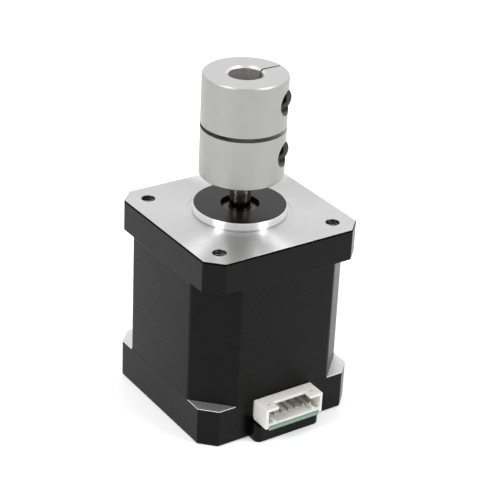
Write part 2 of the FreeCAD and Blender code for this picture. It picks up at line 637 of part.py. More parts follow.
def coupling_body():
    """Clamp hub with two bores, one slit on +X, a waist slot and two screw seats open to -Y."""
    low = COUPLING_BASE
    high = COUPLING_BASE + COUPLING_LENGTH
    waist = (low + high) / 2
    reach = COUPLING_RADIUS + 2
    body = disc(COUPLING_RADIUS, low, high)
    body = body.makeChamfer(COUPLING_EDGE_BREAK, rim_edges(body, low) + rim_edges(body, high))
    mouth = BORE_MOUTH_BREAK
    cutters = [
        disc(MOTOR_BORE_RADIUS, low - 1, waist),
        disc(SCREW_BORE_RADIUS, waist, high + 1),
        Part.makeCone(MOTOR_BORE_RADIUS + mouth, MOTOR_BORE_RADIUS, mouth, Vector(0, 0, low)),
        Part.makeCone(SCREW_BORE_RADIUS, SCREW_BORE_RADIUS + mouth, mouth, Vector(0, 0, high - mouth)),
        block(0, reach, -SLIT_WIDTH / 2, SLIT_WIDTH / 2, low - 1, high + 1),
        disc(RELIEF_NOTCH_RADIUS, low - 1, waist, -MOTOR_BORE_RADIUS, 0),
        disc(RELIEF_NOTCH_RADIUS, waist, high + 1, -SCREW_BORE_RADIUS, 0),
        block(-reach, reach, -reach, WAIST_LIGAMENT_CHORD, waist - WAIST_SLOT / 2, waist + WAIST_SLOT / 2),
    ]
    for height in CLAMP_SCREW_HEIGHTS.values():
        cutters.append(side_disc(CLAMP_POCKET_RADIUS, -reach, -CLAMP_SEAT, height))
        cutters.append(side_disc(CLAMP_CLEARANCE_RADIUS, -reach, 0, height))
        cutters.append(side_disc(THREAD_RADIUS, 0, reach, height))
    return body.cut(cutters)


def clamp_screw(height):
    """Socket-head cap screw across the slit."""
    head_top = -CLAMP_SEAT - CLAMP_HEAD_HEIGHT
    head = side_disc(CLAMP_HEAD_RADIUS, head_top, -CLAMP_SEAT, height)
    top_rim = [edge for edge in head.Edges if edge.BoundBox.YMax < head_top + 0.01]
    head = head.makeChamfer(CLAMP_HEAD_BREAK, top_rim)
    tip = CLAMP_SHANK_LENGTH - CLAMP_SEAT
    shank = side_disc(CLAMP_SHANK_RADIUS, -CLAMP_SEAT, tip, height)
    tip_rim = [edge for edge in shank.Edges if edge.BoundBox.YMin > tip - 0.01]
    shank = shank.makeChamfer(CLAMP_HEAD_BREAK, tip_rim)
    across_corners = CLAMP_KEY_ACROSS_FLATS / math.cos(math.radians(30))
    corners = []
    for i in range(6):
        turn = math.radians(60 * i)
        corners.append(Vector(CLAMP_SCREW_OFFSET + across_corners / 2 * math.cos(turn), head_top - 1,
                              height + across_corners / 2 * math.sin(turn)))
    key = Part.Face(Part.makePolygon(corners + corners[:1])).extrude(Vector(0, 1 + CLAMP_KEY_DEPTH, 0))
    return head.fuse(shank).removeSplitter().cut(key)


# ---------------------------------------------------------------- build

def build_frame():
    """Covers, stack, windings and screws."""
    write("front_end_bell", front_end_bell())
    write("rear_end_bell", rear_end_bell())
    write("stator_core", stator_core())
    write("front_bobbin", bobbin(STATOR_TOP, 1))
    write("rear_bobbin", rear_bobbin())
    write("winding_terminals", *terminal_posts())
    write("phase_a_coils", *phase_coils(0))
    write("phase_b_coils", *phase_coils(1))
    write("through_screws", *through_screws())
    write("wave_washer", wave_washer())


def build_bearings():
    """Both bearings, piece by piece."""
    for end, low in (("front", FRONT_BEARING_TOP - BEARING_WIDTH), ("rear", REAR_BEARING_BASE)):
        for piece, solids in bearing_pieces(low).items():
            write(end + "_bearing_" + piece, *solids)


def build_rotor():
    """Shaft, toothed cups, magnet and spacers."""
    magnet_low = STATOR_MIDDLE - MAGNET_LENGTH / 2
    magnet_high = STATOR_MIDDLE + MAGNET_LENGTH / 2
    front_cup_top = magnet_high + CUP_LENGTH
    rear_cup_base = magnet_low - CUP_LENGTH
    write("shaft", shaft())
    write("front_rotor_cup", toothed_cup(magnet_high, 0))
    write("rear_rotor_cup", toothed_cup(rear_cup_base, TOOTH_PITCH / 2))
    write("rotor_magnet", ring(MAGNET_RADIUS, BEARING_BORE_RADIUS, magnet_low, magnet_high))
    write("front_spacer", ring(SPACER_RADIUS, BEARING_BORE_RADIUS, front_cup_top,
                               FRONT_BEARING_TOP - BEARING_WIDTH))
    write("rear_spacer", ring(SPACER_RADIUS, BEARING_BORE_RADIUS, REAR_BEARING_BASE + BEARING_WIDTH,
                              rear_cup_base))


def build_connector():
    """Board, header and its pins."""
    write("circuit_board", circuit_board())
    write("connector_housing", connector_housing())
    write("connector_pins", *connector_pins())
    write("solder_joints", *solder_joints())


def build_coupling():
    """Clamp hub and its two screws."""
    write("coupling_body", coupling_body())
    for name, height in CLAMP_SCREW_HEIGHTS.items():
        write(name + "_clamp_screw", clamp_screw(height))


os.makedirs("parts", exist_ok=True)
build_frame()
build_bearings()
build_rotor()
build_connector()
build_coupling()
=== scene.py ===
"""Looks of a square stepping motor with a clamp coupling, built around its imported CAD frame.

Everything is in metres in the frame's own axes: +Z along the shaft, connector on -Y.
"""

import json
import math

import bmesh
import bpy
from mathutils import Matrix, Vector


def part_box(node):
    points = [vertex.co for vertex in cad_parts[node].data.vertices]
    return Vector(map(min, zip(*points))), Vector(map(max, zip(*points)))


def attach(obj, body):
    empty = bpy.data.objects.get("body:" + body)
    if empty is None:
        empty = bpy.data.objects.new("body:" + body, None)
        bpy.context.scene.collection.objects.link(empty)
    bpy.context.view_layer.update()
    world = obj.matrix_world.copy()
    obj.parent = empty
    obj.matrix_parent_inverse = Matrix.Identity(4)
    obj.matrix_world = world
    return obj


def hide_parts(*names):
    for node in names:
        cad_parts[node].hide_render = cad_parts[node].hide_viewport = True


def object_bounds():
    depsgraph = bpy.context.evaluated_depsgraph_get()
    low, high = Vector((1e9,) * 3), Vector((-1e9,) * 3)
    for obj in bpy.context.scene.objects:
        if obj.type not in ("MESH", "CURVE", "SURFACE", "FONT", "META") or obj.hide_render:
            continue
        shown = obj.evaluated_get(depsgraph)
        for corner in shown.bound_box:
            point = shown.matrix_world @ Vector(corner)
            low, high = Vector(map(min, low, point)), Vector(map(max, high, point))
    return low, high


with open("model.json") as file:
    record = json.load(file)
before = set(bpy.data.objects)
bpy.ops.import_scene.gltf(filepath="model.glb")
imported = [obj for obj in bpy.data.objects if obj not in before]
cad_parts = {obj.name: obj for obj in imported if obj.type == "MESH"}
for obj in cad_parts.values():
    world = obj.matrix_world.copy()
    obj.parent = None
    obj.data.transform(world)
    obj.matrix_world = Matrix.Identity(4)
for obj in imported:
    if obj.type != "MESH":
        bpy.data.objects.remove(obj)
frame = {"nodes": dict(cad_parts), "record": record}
CAD_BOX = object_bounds()
MM = 0.001

# Sizes that the CAD boxes don't give: lengths in millimetres, TOOTH_PITCH in degrees.
STATOR_CORNER_CUT = 8.15
STATOR_CORNER_RADIUS = 1.4
LAMINATION_PITCH = 0.5
LAMINATION_GROOVE = 0.025
LAMINATION_BEVEL = 0.06
YOKE_RADIUS = 17.8
POLE_HALF_WIDTH = 2.2
POLE_NECK_RADIUS = 14.5
POLE_SHOE_RADIUS = 13.7
STATOR_BORE_RADIUS = 13.0
STATOR_NOTCH_RADIUS = 13.5
POLE_COUNT = 8
POLE_TEETH = 6
TOOTH_PITCH = 7.2
SCREW_SQUARE_HALF = 15.5
SCREW_CLEARANCE_RADIUS = 1.7
THREAD_RADIUS = 1.5
THREAD_DEPTH = 0.24
THREAD_PITCH = 0.5
# A hole's ridge reaches this far into its wall, and a screw's crest stays this far inside the hole.
THREAD_FIT = 0.03
# Half the width of a ridge's foot, as a share of the pitch.
THREAD_FOOT_SHARE = 0.46
MOUNTING_THREAD_LENGTH = 4.3
CLAMP_SCREW_OFFSET = 6.5
CLAMP_SEAT = 2.4
CLAMP_HEAD_RADIUS = 2.75
CLAMP_HEAD_HEIGHT = 3.0
CLAMP_SHANK_LENGTH = 8.0
CLAMP_KEY_APOTHEM = 1.25
CLAMP_KEY_DEPTH = 1.6
CLAMP_TIP_TAPER = 0.35
KNURL_RIDGES = 36
KNURL_DEPTH = 0.16
PILOT_RADIUS = 11.0
NOSE_HOLE_RADIUS = 4.6
RELIEF_RADIUS = 12.4
# Sum of a point's distances from both middle planes, beyond which the rear cover's rim is bare.
LEDGE_START = 33.95
COUPLING_BORE_RADIUS = 4.0
COUPLING_BORE_BEVEL = 0.5
COUPLING_RIM_BEVEL = 0.3
WAIST_SLOT = 1.0
HEADER_EDGE_BEVEL = 0.12
NYLON_SCATTER = 1.3
FLOOR_GAP = 0.05

# Looks that more than one place uses, or that set the tone of a whole area.
ENAMEL_DARK = 0.0015
ENAMEL_LIGHT = 0.0035
PAINT_IOR = 1.22
BOSS_BLACK = 0.042
FACE_METAL_DARK = (0.72, 0.72, 0.72)
FACE_METAL_LIGHT = (0.81, 0.81, 0.81)

# Studio: the surroundings grow brighter towards BRIGHT_SIDE, and two soft lights add to them. Each
# light has a name, a place, a target and a size, all in metres, and a power in watts.
WORLD_DIM = 0.15
WORLD_BRIGHT = 0.92
BRIGHT_SIDE = (0.48, 0.58, 0.5)
FLOOR_GLOW = 0.34
SOFTBOXES = (
    ("softbox_left", (-1.05, -0.04, 0.85), (0, 0, 0), (0.35, 0.6), 8.4),
    ("softbox_right", (0.56, -0.9, 0.85), (0, 0, 0), (0.3, 0.6), 7.3),
)


# ---------------------------------------------------------------- camera and studio

CAMERA_PLACE = Vector((-0.19552, -0.28533, 0.17233))
CAMERA_AZIMUTH = math.radians(34.49)
CAMERA_ELEVATION = math.radians(27.51)
CAMERA_ROLL = math.radians(2.67)
CAMERA_LENS = 124.5


def camera_matrix():
    """Camera pose from its compass direction, height angle and roll."""
    forward = Vector((math.sin(CAMERA_AZIMUTH) * math.cos(CAMERA_ELEVATION),
                      math.cos(CAMERA_AZIMUTH) * math.cos(CAMERA_ELEVATION),
                      -math.sin(CAMERA_ELEVATION)))
    level_right = Vector((math.cos(CAMERA_AZIMUTH), -math.sin(CAMERA_AZIMUTH), 0))
    level_up = level_right.cross(forward)
    right = math.cos(CAMERA_ROLL) * level_right + math.sin(CAMERA_ROLL) * level_up
    up = math.cos(CAMERA_ROLL) * level_up - math.sin(CAMERA_ROLL) * level_right
    turn = Matrix((right, up, -forward)).transposed().to_4x4()
    return Matrix.Translation(CAMERA_PLACE) @ turn


def add_camera():
    """Camera at the viewpoint of the product picture."""
    lens = bpy.data.cameras.new("camera")
    lens.lens = CAMERA_LENS
    lens.sensor_width = 36
    lens.clip_start = 0.01
    lens.clip_end = 20
    camera = bpy.data.objects.new("camera", lens)
    camera.matrix_world = camera_matrix()
    bpy.context.scene.collection.objects.link(camera)
    bpy.context.scene.camera = camera


def add_softbox(name, place, target, size, power):
    """Large area light that faces a target."""
    light = bpy.data.lights.new(name, "AREA")
    light.shape = "RECTANGLE"
    light.size, light.size_y = size
    light.energy = power
    lamp = bpy.data.objects.new(name, light)
    lamp.location = place
    lamp.rotation_euler = (Vector(target) - Vector(place)).to_track_quat("-Z", "Y").to_euler()
    bpy.context.scene.collection.objects.link(lamp)


def add_studio():
    """Pale surroundings and soft lights."""
    scene = bpy.context.scene
    scene.view_settings.view_transform = "Standard"
    world = bpy.data.worlds.new("studio")
    world.use_nodes = True
    nodes, links = world.node_tree.nodes, world.node_tree.links
    direction = nodes.new("ShaderNodeTexCoord")
    towards = nodes.new("ShaderNodeVectorMath")
    towards.operation = "DOT_PRODUCT"
    towards.inputs[1].default_value = BRIGHT_SIDE
    strength = nodes.new("ShaderNodeMapRange")
    strength.inputs["From Min"].default_value = -0.7
    strength.inputs["From Max"].default_value = 0.7
    strength.inputs["To Min"].default_value = WORLD_DIM
    strength.inputs["To Max"].default_value = WORLD_BRIGHT
    links.new(direction.outputs["Generated"], towards.inputs[0])
    links.new(towards.outputs["Value"], strength.inputs["Value"])
    links.new(strength.outputs["Result"], nodes["Background"].inputs["Strength"])
    nodes["Background"].inputs["Color"].default_value = (1, 1, 1, 1)
    scene.world = world
    for name, place, target, size, power in SOFTBOXES:
        add_softbox(name, place, target, size, power)


# ---------------------------------------------------------------- materials

class Surface:
    """A material under construction, with short ways to wire its shader.

    Lengths in textures are in millimetres of the object's own space.
    """

    def __init__(self, name):
        self.material = bpy.data.materials.new(name)
        self.material.use_nodes = True
        self.tree = self.material.node_tree
        self.tree.nodes.clear()
        self.output = self.tree.nodes.new("ShaderNodeOutputMaterial")
        coordinates = self.tree.nodes.new("ShaderNodeTexCoord")
        scale = self.node("ShaderNodeVectorMath", operation="SCALE")
        self.tree.links.new(coordinates.outputs["Object"], scale.inputs[0])
        scale.inputs["Scale"].default_value = 1 / MM
        self.place = scale.outputs[0]
        split = self.tree.nodes.new("ShaderNodeSeparateXYZ")
        self.tree.links.new(self.place, split.inputs[0])
        self.x, self.y, self.z = split.outputs

    def node(self, kind, **settings):
        made = self.tree.nodes.new(kind)
        for key, value in settings.items():
            setattr(made, key, value)
        return made

    def put(self, value, socket):
        """Link a socket, or set a plain value."""
        if isinstance(value, bpy.types.NodeSocket):
            self.tree.links.new(value, socket)
        else:
            socket.default_value = value

    def math(self, operation, first, second=0.0, third=0.0):
        made = self.node("ShaderNodeMath", operation=operation)
        for value, socket in zip((first, second, third), made.inputs):
            self.put(value, socket)
        return made.outputs[0]

    def radius(self, x=None, y=None):
        """Distance from the Z axis, or the length of any two coordinates."""
        x = self.x if x is None else x
        y = self.y if y is None else y
        squares = self.math("ADD", self.math("MULTIPLY", x, x), self.math("MULTIPLY", y, y))
        return self.math("SQRT", squares)

    def above(self, value, level, blur=0.01):
        """1 where value is over level, 0 below it, with a short ramp."""
        return self.spread(value, level - blur, level + blur, 0.0, 1.0)

    def under(self, value, level, blur=0.01):
        """1 where value is under level."""
        return self.spread(value, level - blur, level + blur, 1.0, 0.0)

    def flip(self, value):
        return self.math("SUBTRACT", 1.0, value)

    def both(self, first, second):
        return self.math("MULTIPLY", first, second)

    def either(self, first, second):
        return self.math("MAXIMUM", first, second)

    def spread(self, value, from_low, from_high, to_low, to_high):
        made = self.node("ShaderNodeMapRange", clamp=True)
        for item, socket in zip((value, from_low, from_high, to_low, to_high), made.inputs):
            self.put(item, socket)
        return made.outputs[0]

    def stretched(self, x, y, z):
        """Texture place scaled differently along each axis."""
        made = self.node("ShaderNodeVectorMath", operation="MULTIPLY")
        self.put(self.place, made.inputs[0])
        made.inputs[1].default_value = (x, y, z)
        return made.outputs[0]

    def noise(self, scale, detail=2.0, place=None, roughness=0.5):
        made = self.node("ShaderNodeTexNoise")
        self.put(place or self.place, made.inputs["Vector"])
        made.inputs["Scale"].default_value = scale
        made.inputs["Detail"].default_value = detail
        made.inputs["Roughness"].default_value = roughness
        return made.outputs["Fac"]

    def line_noise(self, value, scale, detail=3.0):
        """Noise along one coordinate."""
        made = self.node("ShaderNodeTexNoise", noise_dimensions="1D")
        self.put(value, made.inputs["W"])
        made.inputs["Scale"].default_value = scale
        made.inputs["Detail"].default_value = detail
        return made.outputs["Fac"]

    def cells(self, scale):
        made = self.node("ShaderNodeTexVoronoi")
        self.put(self.place, made.inputs["Vector"])
        made.inputs["Scale"].default_value = scale
        return made.outputs["Distance"]

    def blend(self, share, first, second):
        """Mix of two colours."""
        made = self.node("ShaderNodeMix", data_type="RGBA")
        self.put(share, made.inputs["Factor"])
        for value, socket in ((first, made.inputs[6]), (second, made.inputs[7])):
            self.put(rgb(value), socket)
        return made.outputs[2]

    def bump(self, height, depth_mm, before=None):
        """Surface relief whose full height is depth_mm."""
        made = self.node("ShaderNodeBump")
        self.put(height, made.inputs["Height"])
        made.inputs["Strength"].default_value = 1.0
        made.inputs["Distance"].default_value = depth_mm * MM
        if before is not None:
            self.put(before, made.inputs["Normal"])
        return made.outputs[0]

    def shader(self, colour, roughness, metallic=0.0, normal=None, **values):
        """Principled shader; values are set on its own sockets."""
        made = self.node("ShaderNodeBsdfPrincipled")
        self.put(rgb(colour), made.inputs["Base Color"])
        self.put(roughness, made.inputs["Roughness"])
        self.put(metallic, made.inputs["Metallic"])
        if normal is not None:
            self.put(normal, made.inputs["Normal"])
        for key, value in values.items():
            self.put(value, made.inputs[key.replace("_", " ")])
        return made

    def finish(self, shader):
        self.put(shader.outputs[0], self.output.inputs["Surface"])
        return self.material


def rgb(colour):
    """Four channels from a grey level or three channels; sockets pass through."""
    if isinstance(colour, (int, float)):
        return (colour, colour, colour, 1)
    if isinstance(colour, tuple):
        return (*colour, 1)
    return colour


def dimmed(colour, share):
    """The same colour with each channel reduced to a share."""
    return tuple(channel * share for channel in colour)


def enamel(s):
    """Colour and roughness of the covers' black enamel."""
    colour = s.blend(s.noise(0.25, 4), ENAMEL_DARK, ENAMEL_LIGHT)
    return colour, s.spread(s.noise(0.9, 4), 0.3, 0.7, 0.25, 0.33)


def corner_radius(s):
    """Distance from the nearest of the four long-screw places."""
    corner_x = s.math("SUBTRACT", s.math("ABSOLUTE", s.x), SCREW_SQUARE_HALF)
    corner_y = s.math("SUBTRACT", s.math("ABSOLUTE", s.y), SCREW_SQUARE_HALF)
    return s.radius(corner_x, corner_y)


def front_cover():
    """Turned bright face and boss wall on a black-enamelled casting with a black boss top."""
    s = Surface("front_cover")
    radius = s.radius()
    enamel_colour, enamel_roughness = enamel(s)

    # Bare metal: the face, and the boss down to the relief ring at its foot, without the black top.
    face = s.above(s.z, -0.02)
    boss_wall = s.both(s.under(radius, RELIEF_RADIUS + 0.2), s.above(s.z, -0.3))
    boss_top = s.both(s.above(s.z, 0.2), s.under(radius, PILOT_RADIUS - 0.14))
    bare = s.math("SUBTRACT", s.either(face, boss_wall), boss_top)
    bare = s.both(bare, s.above(radius, NOSE_HOLE_RADIUS + 0.05))
    # Boss wall, painted paler than the face as painted light.
    wall = s.both(s.above(s.z, 0.05), s.above(radius, PILOT_RADIUS - 0.5))
    # Painted shade line at the boss's foot.
    foot = s.both(s.both(s.above(s.z, -0.3), s.under(s.z, 0.3, 0.12)), s.under(radius, PILOT_RADIUS + 0.12))
    # Tapped holes, painted dark as shade; only the thread crests keep a pale metal tone.
    thread = s.both(s.under(corner_radius(s), THREAD_RADIUS + 0.35), s.under(s.z, -0.03))
    crest = s.under(corner_radius(s), THREAD_RADIUS - THREAD_DEPTH + 0.05, 0.03)

    # Painted light makes the wall paler than the face; painted shade darkens the boss's foot and the tapped
    # holes but for their crests.
    metal_tone = s.blend(s.noise(0.12, 5, roughness=0.6), FACE_METAL_DARK, FACE_METAL_LIGHT)
    metal_tone = s.blend(wall, metal_tone, 0.95)
    colour = s.blend(bare, s.blend(boss_top, enamel_colour, BOSS_BLACK), metal_tone)
    colour = s.blend(s.both(foot, bare), colour, 0.6)
    colour = s.blend(thread, colour, s.blend(crest, 0.06, 0.7))
    face_roughness = s.spread(s.noise(0.35, 4), 0.3, 0.7, 0.35, 0.40)
    black_roughness = s.spread(boss_top, 0, 1, enamel_roughness, 0.25)
    roughness = s.spread(bare, 0, 1, black_roughness, face_roughness)

    # Orange peel and grain on the enamel, turning marks on the metal.
    peel = s.bump(s.both(s.noise(2.2, 3), s.flip(bare)), 0.010)
    grain = s.bump(s.both(s.noise(9, 2), s.flip(bare)), 0.004, peel)
    rings = s.bump(s.both(s.line_noise(radius, 4.0, 5), bare), 0.0012, grain)
    tangent = s.node("ShaderNodeTangent", direction_type="RADIAL", axis="Z")

    # The enamel's rim next to the face hardly shines, so the face gets a dark outline.
    rim = s.both(s.both(s.above(s.z, -0.45), s.flip(bare)), s.above(radius, PILOT_RADIUS + 1))
    gloss = s.spread(s.both(rim, s.flip(thread)), 0, 1, 0.5, 0.05)
    metal = s.math("SUBTRACT", s.either(s.either(bare, thread), boss_top), s.both(s.both(wall, bare), 0.3))
    return s.finish(s.shader(colour, roughness, metal, rings, IOR=PAINT_IOR, Specular_IOR_Level=gloss,
                             Anisotropic=s.spread(bare, 0, 1, 0, 0.95), Anisotropic_Rotation=0.25,
                             Tangent=tangent.outputs[0]))


def rear_cover():
    """Black-enamelled casting, bare where its rim is machined and shows at the corners."""
    s = Surface("rear_cover")
    enamel_colour, enamel_roughness = enamel(s)
    rim_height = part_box("rear_end_bell")[1].z / MM
    outward = s.math("ADD", s.math("ABSOLUTE", s.x), s.math("ABSOLUTE", s.y))
    corner = s.above(outward, LEDGE_START, 0.05)
    bare = s.both(s.above(s.z, rim_height - 0.14, 0.02), corner)
    machined = s.blend(s.spread(s.noise(5, 4), 0.35, 0.65, 0, 1), 0.78, 0.98)
    colour = s.blend(bare, enamel_colour, machined)
    roughness = s.spread(bare, 0, 1, enamel_roughness, 0.48)
    peel = s.bump(s.both(s.noise(2.2, 3), s.flip(bare)), 0.010)
    grain = s.bump(s.noise(9, 2), 0.004, peel)
    return s.finish(s.shader(colour, roughness, bare, grain, IOR=PAINT_IOR))


def lamination_black():
    """Black-painted edges of steel sheets, with faint level streaks."""
    s = Surface("lamination_black")
    streaks = s.noise(1.0, 4, s.stretched(0.25, 0.25, 5))
    colour = s.blend(streaks, 0.0012, 0.004)
    roughness = s.spread(streaks, 0.3, 0.7, 0.26, 0.36)
    normal = s.bump(s.noise(6, 2), 0.004, s.bump(s.noise(1.0, 3, s.stretched(0.6, 0.6, 9)), 0.008))
    return s.finish(s.shader(colour, roughness, normal=normal, IOR=PAINT_IOR))


def blasted_aluminium():
    """Coupling: satin blasted skin; machined faces, chamfers, bores and slots are brighter, and the waist
    slot has painted shade.
    """
    s = Surface("coupling_aluminium")
    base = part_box("coupling_body")[0].z / MM
    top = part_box("coupling_body")[1].z / MM
    skin_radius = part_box("coupling_body")[1].x / MM
    middle = (base + top) / 2
    half_slot = WAIST_SLOT / 2 + 0.02
    radius = s.radius()
    end_face = s.above(s.z, top - 0.04)
    rim_band = s.both(s.under(radius, skin_radius - 0.03), s.above(radius, skin_radius - 0.28))
    rim = s.both(s.above(s.z, top - COUPLING_RIM_BEVEL), rim_band)
    mouth_edge = s.under(radius, COUPLING_BORE_RADIUS + COUPLING_BORE_BEVEL + 0.02)
    mouth = s.both(s.above(s.z, top - COUPLING_BORE_BEVEL), mouth_edge)
    inside = s.both(s.under(radius, skin_radius - 0.12), s.under(s.z, top - COUPLING_RIM_BEVEL - 0.05))
    waist_shade = s.both(inside, s.both(s.above(s.z, middle - half_slot), s.under(s.z, middle + half_slot)))
    bright = s.either(s.either(rim, mouth), inside)
    skin = s.blend(s.noise(0.5, 4), (0.335, 0.335, 0.33), (0.365, 0.365, 0.36))
    colour = s.blend(end_face, skin, s.blend(s.noise(0.8, 4), 0.66, 0.70))
    colour = s.blend(bright, colour, (0.86, 0.855, 0.84))
    colour = s.blend(rim, colour, 0.58)
    # Painted shade: the waist slot's faces are darker than the other cut faces.
    colour = s.blend(waist_shade, colour, 0.68)
    roughness = s.spread(bright, 0, 1, s.spread(s.noise(1.2, 4), 0.3, 0.7, 0.34, 0.42), 0.36)
    grit = s.bump(s.both(s.noise(7, 3, roughness=0.65), s.flip(bright)), 0.012)
    lay = s.bump(s.both(s.line_noise(s.z, 6, 4), inside), 0.002, grit)
    return s.finish(s.shader(colour, roughness, 1.0, lay))


def steel(name, colour, rough, along_z=0.2, depth=0.004):
    """Ground or drawn steel with a lay of fine lines."""
    s = Surface(name)
    lines = s.noise(2.0, 4, s.stretched(1, 1, 1 / along_z))
    tone = s.blend(lines, dimmed(colour, 0.85), colour)
    roughness = s.spread(s.noise(1.5, 3), 0.3, 0.7, rough * 0.8, rough * 1.2)
    return s.finish(s.shader(tone, roughness, 1.0, s.bump(lines, depth)))


def polished(name, colour, rough):
    """Bright plated or polished metal with slight unevenness."""
    s = Surface(name)
    tone = s.blend(s.noise(2, 3), dimmed(colour, 0.9), colour)
    roughness = s.spread(s.noise(3, 3), 0.3, 0.7, rough * 0.7, rough * 1.3)
    return s.finish(s.shader(tone, roughness, 1.0, s.bump(s.noise(4, 2), 0.003)))


def black_oxide():
    """Oiled black oxide on steel."""
    s = Surface("black_oxide")
    tone = s.blend(s.noise(2.5, 4), (0.012, 0.012, 0.013), (0.03, 0.03, 0.032))
    roughness = s.spread(s.noise(3, 3), 0.3, 0.7, 0.28, 0.42)
    return s.finish(s.shader(tone, roughness, 0.4, s.bump(s.noise(8, 2), 0.004)))


def nylon(name, light, dark, rough=0.4, glow=0.0):
    """Moulded nylon; glow lets light scatter inside it."""
    s = Surface(name)
    tone = s.blend(s.noise(0.8, 3), dark, light)
    roughness = s.spread(s.noise(2, 3), 0.3, 0.7, rough * 0.85, rough * 1.15)
    shader = s.shader(tone, roughness, normal=s.bump(s.noise(5, 2), 0.004))
    if glow:
        shader.inputs["Subsurface Weight"].default_value = glow
        shader.inputs["Subsurface Scale"].default_value = NYLON_SCATTER * MM
        shader.inputs["Subsurface Radius"].default_value = (1.0, 0.95, 0.85)
    return s.finish(shader)


def board_green():
    """Glass laminate: green mask on both faces, paler core at the edge."""
    s = Surface("board_green")
    low, high = (corner.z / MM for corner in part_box("circuit_board"))
    inside = s.both(s.above(s.z, low + 0.07), s.flip(s.above(s.z, high - 0.07)))
    weave = s.noise(5, 2, s.stretched(1, 1, 6))
    core = s.blend(weave, (0.15, 0.25, 0.18), (0.28, 0.35, 0.30))
    mask = s.blend(s.noise(1.5, 3), (0.02, 0.15, 0.07), (0.03, 0.22, 0.10))
    tone = s.blend(inside, mask, core)
    return s.finish(s.shader(tone, 0.35, normal=s.bump(weave, 0.01)))


def enamelled_copper():
    """Coil of round wire: fine ridges across the winding."""
    s = Surface("enamelled_copper")
    turns = s.node("ShaderNodeTexWave", wave_type="BANDS", bands_direction="X")
    s.put(s.place, turns.inputs["Vector"])
    turns.inputs["Scale"].default_value = 1.1
    tone = s.blend(s.noise(1.2, 3), (0.55, 0.20, 0.07), (0.75, 0.33, 0.14))
    return s.finish(s.shader(tone, 0.3, 1.0, s.bump(turns.outputs["Fac"], 0.06)))


def sintered(name, colour, rough):
    """Dull ground iron or magnet."""
    s = Surface(name)
    tone = s.blend(s.noise(3, 4), dimmed(colour, 0.7), colour)
    return s.finish(s.shader(tone, rough, 0.9, s.bump(s.cells(4), 0.006)))


def build_materials():
    """One material per slot of the record."""
    return {
        "front_cover": front_cover(),
        "rear_cover": rear_cover(),
        "lamination_black": lamination_black(),
        "bobbin_nylon": nylon("bobbin_nylon", (0.75, 0.72, 0.62), (0.66, 0.63, 0.54)),
        "tinned_terminal": polished("tinned_terminal", (0.75, 0.74, 0.70), 0.25),
        "enamelled_copper": enamelled_copper(),
        "screw_steel": steel("screw_steel", (0.62, 0.62, 0.60), 0.32),
        "spring_steel": steel("spring_steel", (0.50, 0.50, 0.52), 0.3),
        "board_green": board_green(),
        "connector_white": nylon("connector_white", (0.735, 0.73, 0.70), (0.695, 0.69, 0.66), 0.5, 0.9),
        "tinned_pin": polished("tinned_pin", (0.42, 0.40, 0.36), 0.25),
        "solder": polished("solder", (0.72, 0.72, 0.72), 0.3),
        # Painted shade: the shaft's steel is much darker than bare steel, for the shade between the coupling
        # and the boss.
        "shaft_steel": steel("shaft_steel", (0.25, 0.24, 0.225), 0.19, 0.1, 0.0004),
        "rotor_steel": sintered("rotor_steel", (0.42, 0.42, 0.42), 0.4),
        "magnet_grey": sintered("magnet_grey", (0.2, 0.2, 0.21), 0.45),
        "spacer_brass": steel("spacer_brass", (0.78, 0.60, 0.28), 0.25),
        "coupling_aluminium": blasted_aluminium(),
        "black_oxide": black_oxide(),
        # Painted shade: the bearing's rings are much darker than bare steel, for the shade deep in the nose
        # hole.
        "bearing_steel": steel("bearing_steel", (0.10, 0.095, 0.085), 0.25, 0.2, 0.001),
        "ball_steel": polished("ball_steel", (0.8, 0.8, 0.8), 0.08),
        "cage_nylon": nylon("cage_nylon", (0.5, 0.38, 0.2), (0.42, 0.3, 0.16)),
        # Painted shade: the bearing's shields are darker than bare steel, for the shade deep in the nose
        # hole.
        "shield_steel": steel("shield_steel", (0.17, 0.16, 0.15), 0.3, 1, 0.001),
    }


def dress_cad_nodes(materials):
    """Give each CAD node the material of its slot."""
    slots = {entry["node"]: entry["material_slot"] for entry in frame["record"]["subparts"]}
    for name, node in frame["nodes"].items():
        for material_slot in node.material_slots:
            material_slot.material = materials[slots[name]]


# ---------------------------------------------------------------- mesh pieces

def add_piece(name, mesh_source, material, body, smooth_angle=30):
    """Object from a bmesh, smoothed below an angle, riding on a body."""
    mesh = bpy.data.meshes.new(name)
    mesh_source.to_mesh(mesh)
    mesh_source.free()
    mesh.materials.append(material)
    for polygon in mesh.polygons:
        polygon.use_smooth = True
    mesh.set_sharp_from_angle(angle=math.radians(smooth_angle))
    piece = bpy.data.objects.new(name, mesh)
    bpy.context.scene.collection.objects.link(piece)
    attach(piece, body)
    return piece


def loop_of(mesh, points):
    """Vertices of one closed loop."""
    return [mesh.verts.new(Vector(point) * MM) for point in points]


def bridge(mesh, lower, upper):
    """Wall of quads between two loops with as many points."""
    count = len(lower)
    for i in range(count):
        j = (i + 1) % count
        mesh.faces.new((lower[i], lower[j], upper[j], upper[i]))


def on_circle(radius, degrees):
    return Vector((radius * math.cos(math.radians(degrees)), radius * math.sin(math.radians(degrees)), 0))


def stator_outline(inset):
    """Square with cut, rounded corners, moved inwards by inset."""
    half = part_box("stator_core")[1].x / MM - inset
    diagonal = 2 * (half + inset) - STATOR_CORNER_CUT - inset * math.sqrt(2)
    near = diagonal - half
    corners = [(half, near), (near, half)]
    arc_steps = 6
    tangent = STATOR_CORNER_RADIUS * math.tan(math.radians(22.5))
    centres = [Vector((half - STATOR_CORNER_RADIUS, near - tangent, 0)),
               Vector((near - tangent, half - STATOR_CORNER_RADIUS, 0))]
    points = []
    for quarter in range(4):
        for centre, start in zip(centres, (0, 45)):
            for step in range(arc_steps + 1):
                turn = start + 45 * step / arc_steps
                point = centre + on_circle(STATOR_CORNER_RADIUS, turn)
                points.append(Matrix.Rotation(math.radians(90 * quarter), 3, "Z") @ point)
    return points


